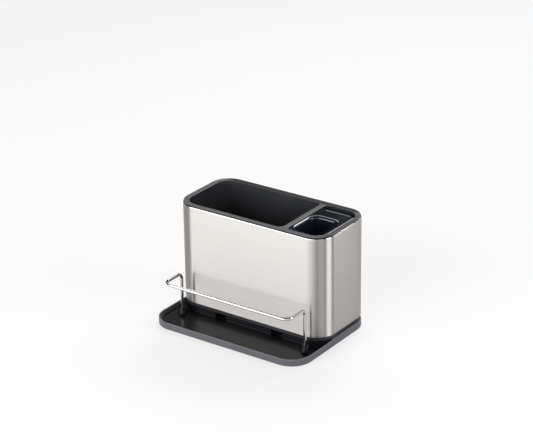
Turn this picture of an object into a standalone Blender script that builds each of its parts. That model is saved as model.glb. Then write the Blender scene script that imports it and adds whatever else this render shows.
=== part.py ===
"""Sink caddy: a brushed steel body with a lift-out liner and cup, on a tray with a wire rail.

The origin is the middle of the tray's footprint, on the surface that the rubber feet stand on.
+Z is up, and the open bay behind the rail faces -Y.
"""

import math
from collections import namedtuple

import bmesh
import bpy
from mathutils import Vector

MM = 0.001

# General fits
REST_GAP = 0.3 * MM
SLIDE_GAP = 0.35 * MM
CORNER_STEPS = 8
ROUND_STEPS = 3

# Steel sleeve
SLEEVE_WIDTH = 183.1 * MM
SLEEVE_DEPTH = 86.4 * MM
SLEEVE_HEIGHT = 109.05 * MM
SLEEVE_CORNER = 21.7 * MM
SHEET = 0.8 * MM
HEM_HEIGHT = 4.0 * MM
HEM_ROUND = 0.25 * MM

# Drip tray
TRAY_SIDE_MARGIN = 1.45 * MM
TRAY_BACK_MARGIN = 0.3 * MM
BAY_DEPTH = 46.2 * MM
TRAY_HEIGHT = 7.5 * MM
TRAY_WALL = 1.5 * MM
TRAY_FLOOR = 2.0 * MM
TRAY_FLOOR_LIFT = 1.0 * MM
TRAY_FRONT_CORNER = 23.7 * MM
TRAY_BACK_CORNER = 24.5 * MM
TRAY_FOOT_ROUND = 0.7 * MM
LIP_ROUND = 0.5 * MM
WELL_FILLET = 1.2 * MM

# Seat rib of the tray, which the body stands on
SEAT_OVERHANG = 0.3 * MM
SEAT_BACK_INSET = 1.0 * MM
SEAT_WIDTH = 7.0 * MM
SEAT_RISE = 0.3 * MM
SEAT_ROUND = 0.4 * MM
SEAT_CORE_WALL = 1.8 * MM
NOTCH_WIDTH = 14.0 * MM
NOTCH_SPACING = 70.0 * MM

# Rubber feet
FOOT_RADIUS = 6.0 * MM
FOOT_PROUD = 0.8 * MM
FOOT_ROUND = 0.4 * MM
FOOT_SIDE_INSET = 21.0 * MM
FOOT_FRONT_INSET = 18.0 * MM
FOOT_BACK_INSET = 22.0 * MM
FOOT_STEPS = 24

# Wire rail and the two sockets that it stands in
WIRE_RADIUS = 1.7 * MM
RAIL_SIDE_INSET = 14.25 * MM
RAIL_FRONT_INSET = 6.0 * MM
RAIL_ABOVE_FLOOR = 45.8 * MM
RAIL_SETBACK = 10.4 * MM
RAIL_CORNER = 9.0 * MM
RAIL_BEND = 6.0 * MM
RAIL_BEND_STEPS = 6
SOCKET_HEIGHT = 6.0 * MM
SOCKET_BASE_RADIUS = 5.0 * MM
SOCKET_TOP_RADIUS = 3.5 * MM
SOCKET_DEPTH = 6.8 * MM
SOCKET_STEPS = 24

# Base ring, which closes the sleeve's lower edge and stands on the seat
RING_INSET = 1.0 * MM
RING_NECK = 3.6 * MM
RING_WALL = 1.6 * MM
RING_WEB = 1.8 * MM
RING_SPIGOT_RISE = 11.0 * MM
RING_LOCATOR_DROP = 3.4 * MM
RING_LOCATOR_GAP = 0.4 * MM

# Lift-out liner, with a wide well on the left and a narrow one on the right
RIM_THICKNESS = 1.05 * MM
RIM_INSET = 0.65 * MM
RIM_WIDTH = 6.0 * MM
RIM_ROUND = 0.45 * MM
RIM_SKIRT_DROP = 6.0 * MM
RIM_SKIRT_WALL = 1.4 * MM
LINER_WALL = 2.0 * MM
LINER_FLOOR = 2.0 * MM
LINER_STANDOFF = 4.5 * MM
LINER_DRAFT = 0.8 * MM
LINER_FILLET = 3.0 * MM
LINER_DRAIN_RADIUS = 2.5 * MM
LINER_DRAIN_PITCH = 19.0 * MM
LINER_DRAIN_COLUMNS = 5
LINER_DRAIN_ROWS = 3
RIGHT_WELL_WIDTH = 41.4 * MM
DIVIDER_WIDTH = 6.2 * MM
DIVIDER_CORNER = 6.0 * MM
DIVIDER_BRIDGE = 2.0 * MM
CUP_STOP_HEIGHT = 4.0 * MM
CUP_STOP_WALL = 1.6 * MM
CUP_STOP_GAP = 0.5 * MM

# Cup, which drops into the right well and leaves a slot behind it
CUP_RECESS = 0.8 * MM
CUP_CLEARANCE = 0.45 * MM
CUP_SLOT = 9.8 * MM
CUP_BACK_CORNER = 4.0 * MM
CUP_FLANGE = 1.6 * MM
CUP_FLANGE_ROUND = 0.5 * MM
CUP_LAND_LEFT = 0.6 * MM
CUP_LAND_RIGHT = 2.6 * MM
CUP_LAND_FRONT = 1.6 * MM
CUP_LAND_BACK = 15.5 * MM
CUP_MOUTH_CORNER = 12.0 * MM
CUP_FLARE = 3.2 * MM
CUP_FLARE_STEPS = 5
CUP_WALL = 1.8 * MM
CUP_FLOOR = 2.0 * MM
CUP_DRAFT = 1.0 * MM
CUP_FILLET = 3.0 * MM
CUP_DRAIN_RADIUS = 2.5 * MM
CUP_DRAIN_PITCH = 12.0 * MM
DRAIN_STEPS = 16

# Levels, from the table up
TRAY_BOTTOM = FOOT_PROUD
TRAY_UNDERSIDE = TRAY_BOTTOM + TRAY_FLOOR_LIFT
TRAY_FLOOR_TOP = TRAY_UNDERSIDE + TRAY_FLOOR
TRAY_TOP = TRAY_BOTTOM + TRAY_HEIGHT
SEAT_TOP = TRAY_TOP + SEAT_RISE
RING_BOTTOM = SEAT_TOP + REST_GAP
RING_SHOULDER = RING_BOTTOM + RING_NECK
SLEEVE_BOTTOM = RING_SHOULDER + REST_GAP
SLEEVE_TOP = SLEEVE_BOTTOM + SLEEVE_HEIGHT
RIM_UNDERSIDE = SLEEVE_TOP + REST_GAP
RIM_TOP = RIM_UNDERSIDE + RIM_THICKNESS
LINER_BOTTOM = RING_BOTTOM + RING_WEB + LINER_STANDOFF
LINER_FLOOR_TOP = LINER_BOTTOM + LINER_FLOOR
CUP_TOP = RIM_TOP - CUP_RECESS
CUP_BOTTOM = LINER_FLOOR_TOP + REST_GAP
CUP_FLOOR_TOP = CUP_BOTTOM + CUP_FLOOR
RAIL_LEVEL = TRAY_FLOOR_TOP + RAIL_ABOVE_FLOOR
SOCKET_TOP = TRAY_FLOOR_TOP + SOCKET_HEIGHT
SOCKET_BOTTOM = SOCKET_TOP - SOCKET_DEPTH

# A plan is a rounded rectangle seen from above, with one radius for each corner
Plan = namedtuple("Plan", "left right front back front_left front_right back_right back_left")

TRAY_DEPTH = BAY_DEPTH + SLEEVE_DEPTH + TRAY_BACK_MARGIN
SLEEVE_FRONT = BAY_DEPTH - TRAY_DEPTH / 2
SLEEVE_BACK = SLEEVE_FRONT + SLEEVE_DEPTH
RIM_INNER = RIM_INSET + RIM_WIDTH


def even_plan(left, right, front, back, front_corner, back_corner):
    return Plan(left, right, front, back, front_corner, front_corner, back_corner, back_corner)


def shrink(plan, by):
    """The plan with every side moved inwards, and each corner round still true to its neighbours."""
    radii = [max(radius - by, 0.5 * MM) for radius in plan[4:]]
    return Plan(plan.left + by, plan.right - by, plan.front + by, plan.back - by, *radii)


TRAY_PLAN = even_plan(
    -SLEEVE_WIDTH / 2 - TRAY_SIDE_MARGIN,
    SLEEVE_WIDTH / 2 + TRAY_SIDE_MARGIN,
    -TRAY_DEPTH / 2,
    TRAY_DEPTH / 2,
    TRAY_FRONT_CORNER,
    TRAY_BACK_CORNER,
)
SLEEVE_PLAN = even_plan(
    -SLEEVE_WIDTH / 2, SLEEVE_WIDTH / 2, SLEEVE_FRONT, SLEEVE_BACK, SLEEVE_CORNER, SLEEVE_CORNER
)
SEAT_PLAN = SLEEVE_PLAN._replace(back=SLEEVE_PLAN.back - SEAT_BACK_INSET)
INSIDE_PLAN = shrink(SLEEVE_PLAN, RIM_INNER)
RIGHT_WELL_PLAN = INSIDE_PLAN._replace(
    left=INSIDE_PLAN.right - RIGHT_WELL_WIDTH, front_left=DIVIDER_CORNER, back_left=DIVIDER_CORNER
)
LEFT_WELL_PLAN = INSIDE_PLAN._replace(
    right=RIGHT_WELL_PLAN.left - DIVIDER_WIDTH,
    front_right=DIVIDER_CORNER,
    back_right=DIVIDER_CORNER,
)
CUP_PLAN = shrink(RIGHT_WELL_PLAN, CUP_CLEARANCE)._replace(
    back=RIGHT_WELL_PLAN.back - CUP_SLOT, back_left=CUP_BACK_CORNER, back_right=CUP_BACK_CORNER
)
MOUTH_PLAN = Plan(
    CUP_PLAN.left + CUP_LAND_LEFT,
    CUP_PLAN.right - CUP_LAND_RIGHT,
    CUP_PLAN.front + CUP_LAND_FRONT,
    CUP_PLAN.back - CUP_LAND_BACK,
    *(CUP_MOUTH_CORNER,) * 4,
)


def ring(plan, inset, z):
    """Points of the plan, drawn in by inset, anticlockwise from the front right corner."""
    p = shrink(plan, inset)
    corners = (
        (p.right - p.front_right, p.front + p.front_right, p.front_right, -90),
        (p.right - p.back_right, p.back - p.back_right, p.back_right, 0),
        (p.left + p.back_left, p.back - p.back_left, p.back_left, 90),
        (p.left + p.front_left, p.front + p.front_left, p.front_left, 180),
    )
    points = []
    for x, y, radius, start in corners:
        for step in range(CORNER_STEPS + 1):
            angle = math.radians(start + 90 * step / CORNER_STEPS)
            points.append(Vector((x + radius * math.cos(angle), y + radius * math.sin(angle), z)))
    return points


def rounding(inset, z, radius, start, end, steps=ROUND_STEPS):
    """(inset, z) points of a small round in the wall's section, whose centre is given."""
    angles = [math.radians(start + (end - start) * step / steps) for step in range(steps + 1)]
    return [(inset - radius * math.cos(a), z + radius * math.sin(a)) for a in angles]


def rings_of(plan, section):
    return [ring(plan, inset, z) for inset, z in section]


def clear_scene():
    for obj in list(bpy.data.objects):
        bpy.data.objects.remove(obj, do_unlink=True)


def make_collection(name):
    collection = bpy.data.collections.new(name)
    bpy.context.scene.collection.children.link(collection)
    return collection


def make_material(name, color, roughness, metallic):
    material = bpy.data.materials.new(name)
    material.use_nodes = True
    shader = material.node_tree.nodes["Principled BSDF"]
    shader.inputs["Base Color"].default_value = (*color, 1)
    shader.inputs["Roughness"].default_value = roughness
    shader.inputs["Metallic"].default_value = metallic
    return material


def add_object(name, data, collection, material=None):
    obj = bpy.data.objects.new(name, data)
    collection.objects.link(obj)
    if material:
        data.materials.append(material)
    return obj


def as_cutter(obj):
    obj.hide_render = True
    obj.display_type = "WIRE"
    return obj


def finish_mesh(bm, name):
    bmesh.ops.recalc_face_normals(bm, faces=bm.faces)
    mesh = bpy.data.meshes.new(name)
    bm.to_mesh(mesh)
    bm.free()
    mesh.shade_smooth()
    mesh.set_sharp_from_angle(angle=math.radians(35))
    return mesh


def loft(name, rings, collection, material=None, closed=False):
    """A solid from matching rings: capped at both ends, or closed back to the first."""
    bm = bmesh.new()
    loops = [[bm.verts.new(point) for point in points] for points in rings]
    pairs = list(zip(loops, loops[1:]))
    if closed:
        pairs.append((loops[-1], loops[0]))
    else:
        bm.faces.new(loops[0])
        bm.faces.new(loops[-1])
    for lower, upper in pairs:
        for a, b, c, d in zip(lower, lower[1:] + lower[:1], upper[1:] + upper[:1], upper):
            bm.faces.new((a, b, c, d))
    return add_object(name, finish_mesh(bm, name), collection, material)


def turned(name, profile, steps, collection, place, material=None):
    """A solid of revolution about Z: the profile's (radius, z) points run down the outer side."""
    mesh = bpy.data.meshes.new(name)
    points = [(radius, 0, z) for radius, z in profile]
    mesh.from_pydata(points, [(i, i + 1) for i in range(len(points) - 1)], [])
    obj = add_object(name, mesh, collection, material)
    obj.location = place
    screw = obj.modifiers.new("Turn", "SCREW")
    screw.steps = steps
    screw.render_steps = steps
    screw.use_merge_vertices = True
    screw.merge_threshold = 0.00001
    screw.use_smooth_shade = True
    return obj


def box(name, low, high, collection):
    """A cutter or a rib as a plain block between two corners."""
    bm = bmesh.new()
    bmesh.ops.create_cube(bm, size=1)
    bmesh.ops.scale(bm, vec=[b - a for a, b in zip(low, high)], verts=bm.verts)
    bmesh.ops.translate(bm, vec=[(a + b) / 2 for a, b in zip(low, high)], verts=bm.verts)
    return as_cutter(add_object(name, finish_mesh(bm, name), collection))


def boolean(obj, other, operation):
    modifier = obj.modifiers.new(f"{operation} {other.name}", "BOOLEAN")
    modifier.operation = operation
    modifier.object = other


def drill(obj, name, places, radius, low, high, collection):
    """Round holes through obj, cut as one set of rods."""
    bm = bmesh.new()
    for x, y in places:
        made = bmesh.ops.create_cone(
            bm,
            cap_ends=True,
            segments=DRAIN_STEPS,
            radius1=radius,
            radius2=radius,
            depth=high - low,
        )
        bmesh.ops.translate(bm, vec=(x, y, (low + high) / 2), verts=made["verts"])
    rods = as_cutter(add_object(name, finish_mesh(bm, name), collection))
    boolean(obj, rods, "DIFFERENCE")


def grid(center_x, center_y, columns, rows, pitch):
    """Places of a rectangular pattern about a centre."""
    return [
        (center_x + (i - (columns - 1) / 2) * pitch, center_y + (j - (rows - 1) / 2) * pitch)
        for i in range(columns)
        for j in range(rows)
    ]


def rail_feet():
    y = SLEEVE_FRONT - RAIL_SETBACK
    x = SLEEVE_WIDTH / 2 - RAIL_SIDE_INSET
    return [(-x, y), (x, y)]


def tray_section():
    """The tray's wall from the underside, round the lip, to the well's floor."""
    inner_wall = TRAY_WALL + LIP_ROUND
    section = [(inner_wall, TRAY_UNDERSIDE), (inner_wall, TRAY_BOTTOM)]
    section += rounding(
        TRAY_FOOT_ROUND, TRAY_BOTTOM + TRAY_FOOT_ROUND, TRAY_FOOT_ROUND, -90, 0
    )
    section += rounding(LIP_ROUND, TRAY_TOP - LIP_ROUND, LIP_ROUND, 0, 90)
    section += rounding(TRAY_WALL - LIP_ROUND, TRAY_TOP - LIP_ROUND, LIP_ROUND, 90, 180)
    fillet = rounding(
        TRAY_WALL + WELL_FILLET, TRAY_FLOOR_TOP + WELL_FILLET, WELL_FILLET, 0, -90
    )
    return section + fillet


def seat_rib(cutters):
    outer = -SEAT_OVERHANG
    inner = SEAT_WIDTH - SEAT_OVERHANG
    base = TRAY_FLOOR_TOP - TRAY_FLOOR / 2
    section = [(inner, base), (outer, base)]
    section += rounding(outer + SEAT_ROUND, SEAT_TOP - SEAT_ROUND, SEAT_ROUND, 0, 90)
    section += rounding(inner - SEAT_ROUND, SEAT_TOP - SEAT_ROUND, SEAT_ROUND, 90, 180)
    return as_cutter(loft("seat_rib", rings_of(SEAT_PLAN, section), cutters, closed=True))


def seat_core(cutters):
    """The groove under the seat rib, which keeps the moulding's wall even."""
    outer = SEAT_CORE_WALL - SEAT_OVERHANG
    inner = SEAT_WIDTH - SEAT_OVERHANG - SEAT_CORE_WALL
    section = [(inner, 0), (outer, 0), (outer, SEAT_TOP - SEAT_CORE_WALL)]
    section.append((inner, SEAT_TOP - SEAT_CORE_WALL))
    return as_cutter(loft("seat_core", rings_of(SEAT_PLAN, section), cutters, closed=True))


def drain_notch(index, x, margin, cutters):
    """A block across the seat rib's front. A margin widens it, for the solid part under it."""
    half = NOTCH_WIDTH / 2 + margin
    low = (x - half, SLEEVE_FRONT - 2 * SEAT_OVERHANG - margin, TRAY_FLOOR_TOP - 2 * margin)
    high = (x + half, SLEEVE_FRONT + SEAT_WIDTH + margin, SEAT_TOP + SEAT_WIDTH)
    name = f"core_stop_{index}" if margin else f"drain_notch_{index}"
    return box(name, low, high, cutters)


def make_tray(parts, cutters, plastic):
    tray = loft("base_tray", rings_of(TRAY_PLAN, tray_section()), parts, plastic)
    core = seat_core(cutters)
    boolean(tray, seat_rib(cutters), "UNION")
    boolean(tray, core, "DIFFERENCE")
    for index, side in enumerate((-1, 1)):
        x = side * NOTCH_SPACING / 2
        boolean(core, drain_notch(index, x, SEAT_CORE_WALL, cutters), "DIFFERENCE")
        boolean(tray, drain_notch(index, x, 0, cutters), "DIFFERENCE")
    for index, (x, y) in enumerate(rail_feet()):
        boolean(tray, socket_boss(index, x, y, cutters), "UNION")
    drill(
        tray,
        "rail_sockets",
        rail_feet(),
        WIRE_RADIUS + SLIDE_GAP,
        SOCKET_BOTTOM,
        SOCKET_TOP + SOCKET_HEIGHT,
        cutters,
    )


def socket_boss(index, x, y, cutters):
    """A tapered boss on the tray's floor, rounded at its top."""
    flat = SOCKET_TOP_RADIUS - LIP_ROUND
    shoulder = SOCKET_TOP - LIP_ROUND
    profile = [(0, SOCKET_TOP)]
    for step in range(ROUND_STEPS + 1):
        angle = math.radians(90 * step / ROUND_STEPS)
        profile.append((flat + LIP_ROUND * math.sin(angle), shoulder + LIP_ROUND * math.cos(angle)))
    base = TRAY_FLOOR_TOP - TRAY_FLOOR / 2
    profile += [(SOCKET_BASE_RADIUS, base), (0, base)]
    return as_cutter(turned(f"socket_boss_{index}", profile, SOCKET_STEPS, cutters, (x, y, 0)))


def make_feet(parts, rubber):
    """Four glued pads under the tray's floor."""
    x = SLEEVE_WIDTH / 2 + TRAY_SIDE_MARGIN - FOOT_SIDE_INSET
    front = -TRAY_DEPTH / 2 + FOOT_FRONT_INSET
    back = TRAY_DEPTH / 2 - FOOT_BACK_INSET
    places = {
        "foot_front_left": (-x, front),
        "foot_front_right": (x, front),
        "foot_back_left": (-x, back),
        "foot_back_right": (x, back),
    }
    top = TRAY_UNDERSIDE - REST_GAP
    profile = [(0, top), (FOOT_RADIUS, top), (FOOT_RADIUS, FOOT_ROUND)]
    profile += [(FOOT_RADIUS - FOOT_ROUND, 0), (0, 0)]
    for name, (px, py) in places.items():
        turned(name, profile, FOOT_STEPS, parts, (px, py, 0), rubber)


def arc(center, radius, start, end, place):
    """Points of a bend between two angles, laid in space by place(u, v)."""
    steps = RAIL_BEND_STEPS
    angles = [math.radians(start + (end - start) * step / steps) for step in range(steps + 1)]
    return [
        place(center[0] + radius * math.cos(a), center[1] + radius * math.sin(a)) for a in angles
    ]


def rail_half():
    """The wire from the right leg's end to the right end of the front run."""
    x, leg_y = rail_feet()[1]
    front_y = TRAY_PLAN.front + RAIL_FRONT_INSET
    points = [Vector((x, leg_y, SOCKET_BOTTOM + REST_GAP))]
    points += arc(
        (leg_y - RAIL_BEND, RAIL_LEVEL - RAIL_BEND),
        RAIL_BEND,
        0,
        90,
        lambda y, z: Vector((x, y, z)),
    )
    points += arc(
        (x - RAIL_CORNER, front_y + RAIL_CORNER),
        RAIL_CORNER,
        0,
        -90,
        lambda px, y: Vector((px, y, RAIL_LEVEL)),
    )
    return points


def make_rail(parts, wire):
    """One length of round wire, bent at four places, with its ends down in the sockets."""
    right = rail_half()
    left = [Vector((-p.x, p.y, p.z)) for p in reversed(right)]
    points = right + left
    data = bpy.data.curves.new("wire_rail", "CURVE")
    data.dimensions = "3D"
    spline = data.splines.new("POLY")
    spline.points.add(len(points) - 1)
    for point, target in zip(points, spline.points):
        target.co = (*point, 1)
    data.bevel_depth = WIRE_RADIUS
    data.bevel_resolution = 4
    data.use_fill_caps = True
    return add_object("wire_rail", data, parts, wire)


def make_base_ring(parts, plastic):
    """Its neck shows as the dark gap below the steel, and its spigot stands inside the sleeve."""
    spigot = 2 * SHEET + SLIDE_GAP
    locator = SEAT_WIDTH - SEAT_OVERHANG + RING_LOCATOR_GAP
    web_top = RING_BOTTOM + RING_WEB
    upper = [
        (RING_INSET, RING_BOTTOM),
        (RING_INSET, RING_SHOULDER),
        (spigot, RING_SHOULDER),
        (spigot, RING_SHOULDER + RING_SPIGOT_RISE),
        (spigot + RING_WALL, RING_SHOULDER + RING_SPIGOT_RISE),
        (spigot + RING_WALL, web_top),
    ]
    lower = [
        (locator + RING_WALL, web_top),
        (locator + RING_WALL, RING_BOTTOM - RING_LOCATOR_DROP),
        (locator, RING_BOTTOM - RING_LOCATOR_DROP),
        (locator, RING_BOTTOM),
    ]
    rings = rings_of(SLEEVE_PLAN, upper) + rings_of(SEAT_PLAN, lower)
    return loft("base_ring", rings, parts, plastic, closed=True)


def make_sleeve(parts, steel):
    """Sheet steel, bent round into a closed band, with its top and bottom edges hemmed inwards."""
    hem = 2 * SHEET
    low = SLEEVE_BOTTOM
    high = SLEEVE_TOP
    section = rounding(HEM_ROUND, low + HEM_ROUND, HEM_ROUND, -90, 0)
    section += rounding(HEM_ROUND, high - HEM_ROUND, HEM_ROUND, 0, 90)
    section += rounding(hem - HEM_ROUND, high - HEM_ROUND, HEM_ROUND, 90, 180)
    section += [(hem, high - HEM_HEIGHT), (SHEET, high - HEM_HEIGHT - SHEET)]
    section += [(SHEET, low + HEM_HEIGHT + SHEET), (hem, low + HEM_HEIGHT)]
    section += rounding(hem - HEM_ROUND, low + HEM_ROUND, HEM_ROUND, 180, 270)
    return loft("steel_sleeve", rings_of(SLEEVE_PLAN, section), parts, steel, closed=True)


def liner_section():
    """The liner's outer side, from under its floor up to the rim and its skirt inside the sleeve."""
    outside = RIM_INNER - LINER_WALL
    skirt = 2 * SHEET + SLIDE_GAP
    low = outside + LINER_DRAFT
    section = rounding(low + LINER_FILLET, LINER_BOTTOM + LINER_FILLET, LINER_FILLET, -90, 0)
    section += [
        (outside, RIM_UNDERSIDE),
        (skirt + RIM_SKIRT_WALL, RIM_UNDERSIDE),
        (skirt + RIM_SKIRT_WALL, RIM_UNDERSIDE - RIM_SKIRT_DROP),
        (skirt, RIM_UNDERSIDE - RIM_SKIRT_DROP),
        (skirt, RIM_UNDERSIDE),
        (RIM_INSET, RIM_UNDERSIDE),
    ]
    return section + rounding(RIM_INSET + RIM_ROUND, RIM_TOP - RIM_ROUND, RIM_ROUND, 0, 90)


def well(name, plan, cutters):
    """A pocket with a drafted wall, a filleted floor and a rounded upper edge."""
    section = rounding(
        LINER_DRAFT + LINER_FILLET, LINER_FLOOR_TOP + LINER_FILLET, LINER_FILLET, -90, 0
    )
    section += rounding(-RIM_ROUND, RIM_TOP - RIM_ROUND, RIM_ROUND, 180, 90)
    section.append((-RIM_ROUND, RIM_TOP + LINER_FLOOR))
    return as_cutter(loft(name, rings_of(plan, section), cutters))


def divider_gap(cutters):
    """The divider is two walls with a gap between them, open below and joined under the rim."""
    inset = RIM_INNER - LINER_WALL - SLIDE_GAP
    low = (LEFT_WELL_PLAN.right + LINER_WALL, SLEEVE_FRONT + inset, LINER_BOTTOM - LINER_FLOOR)
    high = (RIGHT_WELL_PLAN.left - LINER_WALL, SLEEVE_BACK - inset, RIM_TOP - DIVIDER_BRIDGE)
    return box("divider_gap", low, high, cutters)


def cup_stop(cutters):
    """A low rib on the right well's floor, which keeps the cup forward."""
    back = MOUTH_PLAN.back - CUP_FLARE + CUP_WALL + CUP_STOP_GAP
    return box(
        "cup_stop",
        (MOUTH_PLAN.left + CUP_MOUTH_CORNER, back, LINER_FLOOR_TOP - LINER_FLOOR / 2),
        (
            MOUTH_PLAN.right - CUP_MOUTH_CORNER,
            back + CUP_STOP_WALL,
            LINER_FLOOR_TOP + CUP_STOP_HEIGHT,
        ),
        cutters,
    )


def middle(plan):
    return (plan.left + plan.right) / 2, (plan.front + plan.back) / 2


def make_liner(parts, cutters, plastic):
    """One moulding: the rim lies on the sleeve's top edge, and both wells drain into the tray."""
    liner = loft("liner", rings_of(SLEEVE_PLAN, liner_section()), parts, plastic)
    boolean(liner, well("left_well", LEFT_WELL_PLAN, cutters), "DIFFERENCE")
    boolean(liner, well("right_well", RIGHT_WELL_PLAN, cutters), "DIFFERENCE")
    boolean(liner, divider_gap(cutters), "DIFFERENCE")
    boolean(liner, cup_stop(cutters), "UNION")
    places = grid(
        *middle(LEFT_WELL_PLAN), LINER_DRAIN_COLUMNS, LINER_DRAIN_ROWS, LINER_DRAIN_PITCH
    )
    places += grid(*middle(MOUTH_PLAN), 2, 2, CUP_DRAIN_PITCH)
    low = LINER_BOTTOM - LINER_FLOOR
    high = LINER_FLOOR_TOP + LINER_FLOOR
    drill(liner, "liner_drains", places, LINER_DRAIN_RADIUS, low, high, cutters)


def make_cup(parts, cutters, plastic):
    """A narrow cup under a flange that is wide behind its mouth, standing on the well's floor."""
    outside = CUP_FLARE - CUP_WALL
    underside = CUP_TOP - CUP_FLANGE
    low = outside + CUP_DRAFT + CUP_FILLET
    section = rounding(low, CUP_BOTTOM + CUP_FILLET, CUP_FILLET, -90, 0)
    section += [(outside, CUP_TOP - CUP_FLARE), (CUP_WALL - CUP_FLANGE, underside)]
    rings = rings_of(MOUTH_PLAN, section)
    edge = rounding(CUP_FLANGE_ROUND, CUP_TOP - CUP_FLANGE_ROUND, CUP_FLANGE_ROUND, 0, 90)
    rings += rings_of(CUP_PLAN, [(0, underside)] + edge)
    inside = rounding(0, CUP_TOP - CUP_FLARE, CUP_FLARE, 90, 180, CUP_FLARE_STEPS)
    floor = CUP_FLARE + CUP_DRAFT + CUP_FILLET
    inside += rounding(floor, CUP_FLOOR_TOP + CUP_FILLET, CUP_FILLET, 0, -90)
    rings += rings_of(MOUTH_PLAN, inside)
    cup = loft("brush_cup", rings, parts, plastic)
    places = grid(*middle(MOUTH_PLAN), 2, 2, CUP_DRAIN_PITCH)
    low = CUP_BOTTOM - CUP_FLOOR
    high = CUP_FLOOR_TOP + CUP_FLOOR
    drill(cup, "cup_drains", places, CUP_DRAIN_RADIUS, low, high, cutters)


def main():
    clear_scene()
    parts = make_collection("sink_caddy")
    cutters = make_collection("cutters")
    cutters.hide_render = True
    make_tray(parts, cutters, make_material("tray_plastic", (0.055, 0.058, 0.066), 0.35, 0.0))
    make_feet(parts, make_material("foot_rubber", (0.02, 0.02, 0.02), 0.8, 0.0))
    make_rail(parts, make_material("polished_wire", (0.75, 0.74, 0.72), 0.12, 1.0))
    make_base_ring(parts, make_material("ring_plastic", (0.045, 0.047, 0.052), 0.45, 0.0))
    make_sleeve(parts, make_material("brushed_steel", (0.62, 0.60, 0.58), 0.32, 1.0))
    make_liner(parts, cutters, make_material("liner_plastic", (0.075, 0.079, 0.085), 0.5, 0.0))
    make_cup(parts, cutters, make_material("cup_plastic", (0.045, 0.046, 0.054), 0.35, 0.0))


main()
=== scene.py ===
import math

import bmesh
import bpy
from mathutils import Matrix, Vector


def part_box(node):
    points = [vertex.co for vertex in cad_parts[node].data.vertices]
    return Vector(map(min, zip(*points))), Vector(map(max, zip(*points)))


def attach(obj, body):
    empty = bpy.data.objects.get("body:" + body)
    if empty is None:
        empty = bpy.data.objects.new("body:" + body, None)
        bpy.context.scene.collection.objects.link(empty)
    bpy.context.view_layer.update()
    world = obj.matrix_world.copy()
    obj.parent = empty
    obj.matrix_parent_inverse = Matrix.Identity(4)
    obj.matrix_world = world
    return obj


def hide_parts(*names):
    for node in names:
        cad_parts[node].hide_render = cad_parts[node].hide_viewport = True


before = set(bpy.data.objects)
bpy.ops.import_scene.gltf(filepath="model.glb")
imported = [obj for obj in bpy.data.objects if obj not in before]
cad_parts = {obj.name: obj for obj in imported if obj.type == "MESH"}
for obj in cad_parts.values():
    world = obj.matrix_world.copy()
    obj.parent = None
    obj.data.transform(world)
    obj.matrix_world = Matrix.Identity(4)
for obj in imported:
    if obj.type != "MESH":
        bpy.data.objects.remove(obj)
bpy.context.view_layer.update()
MM = 0.001

# Studio
# The camera stands to the right of the front and a little above, where the photograph was taken from.
# The light is wide, pale and soft: a big lamp in front, narrow ones at the right, and three behind.
CAMERA_PLACE = (1.0637, -1.4818, 0.9123)
TURN = math.radians(35.414)
TILT = math.radians(23.443)
LEAN = math.radians(-0.773)
camera_data = bpy.data.cameras.new("camera")
camera_data.sensor_width = 36
camera_data.lens = 132.54
camera_data.clip_start = 0.05
camera_data.clip_end = 60
camera = bpy.data.objects.new("camera", camera_data)
camera.rotation_euler = (
    Matrix.Rotation(TURN, 3, "Z")
    @ Matrix.Rotation(math.pi / 2 - TILT, 3, "X")
    @ Matrix.Rotation(LEAN, 3, "Z")
).to_euler()
camera.location = CAMERA_PLACE
bpy.context.scene.collection.objects.link(camera)
bpy.context.scene.camera = camera
bpy.context.scene.view_settings.view_transform = "Standard"

world = bpy.data.worlds.new("room")
world.use_nodes = True
room_air = world.node_tree.nodes["Background"]
room_air.inputs["Color"].default_value = (0.95, 0.97, 1.0, 1)
room_air.inputs["Strength"].default_value = 0.04
bpy.context.scene.world = world


def softbox(name, azimuth, distance, low, high, width, glow, bright=None):
    """An upright soft lamp round the caddy, in metres. Azimuth 0 is in front of it, and 90 on its right.

    If bright is given, the face is full bright between those two shares of its width, and fades to its sides.
    """
    lamp = bpy.data.lights.new(name, "AREA")
    lamp.shape = "RECTANGLE"
    lamp.size = width
    lamp.size_y = high - low
    lamp.energy = glow * math.pi * width * (high - low)
    if bright:
        lamp.use_nodes = True
        made, join = lamp.node_tree.nodes, lamp.node_tree.links.new
        face = made.new("ShaderNodeNewGeometry")
        across = made.new("ShaderNodeSeparateXYZ")
        join(face.outputs["Parametric"], across.inputs["Vector"])
        shade = made.new("ShaderNodeValToRGB")
        shade.color_ramp.elements.remove(shade.color_ramp.elements[1])
        shade.color_ramp.elements[0].color = (0, 0, 0, 1)
        for where, level in ((bright[0], 1), (bright[1], 1), (1, 0)):
            shade.color_ramp.elements.new(where).color = (level, level, level, 1)
        join(across.outputs["X"], shade.inputs["Fac"])
        join(shade.outputs["Color"], made["Emission"].inputs["Strength"])
    turn = math.radians(azimuth)
    obj = bpy.data.objects.new(name, lamp)
    obj.location = (distance * math.sin(turn), -distance * math.cos(turn), (low + high) / 2)
    obj.rotation_euler = Vector((-math.sin(turn), math.cos(turn), 0)).to_track_quat("-Z", "Y").to_euler()
    bpy.context.scene.collection.objects.link(obj)


def new_finish(name):
    """A new node material, with its tree and its shader."""
    finish = bpy.data.materials.new(name)
    finish.use_nodes = True
    return finish, finish.node_tree, finish.node_tree.nodes["Principled BSDF"]


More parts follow.
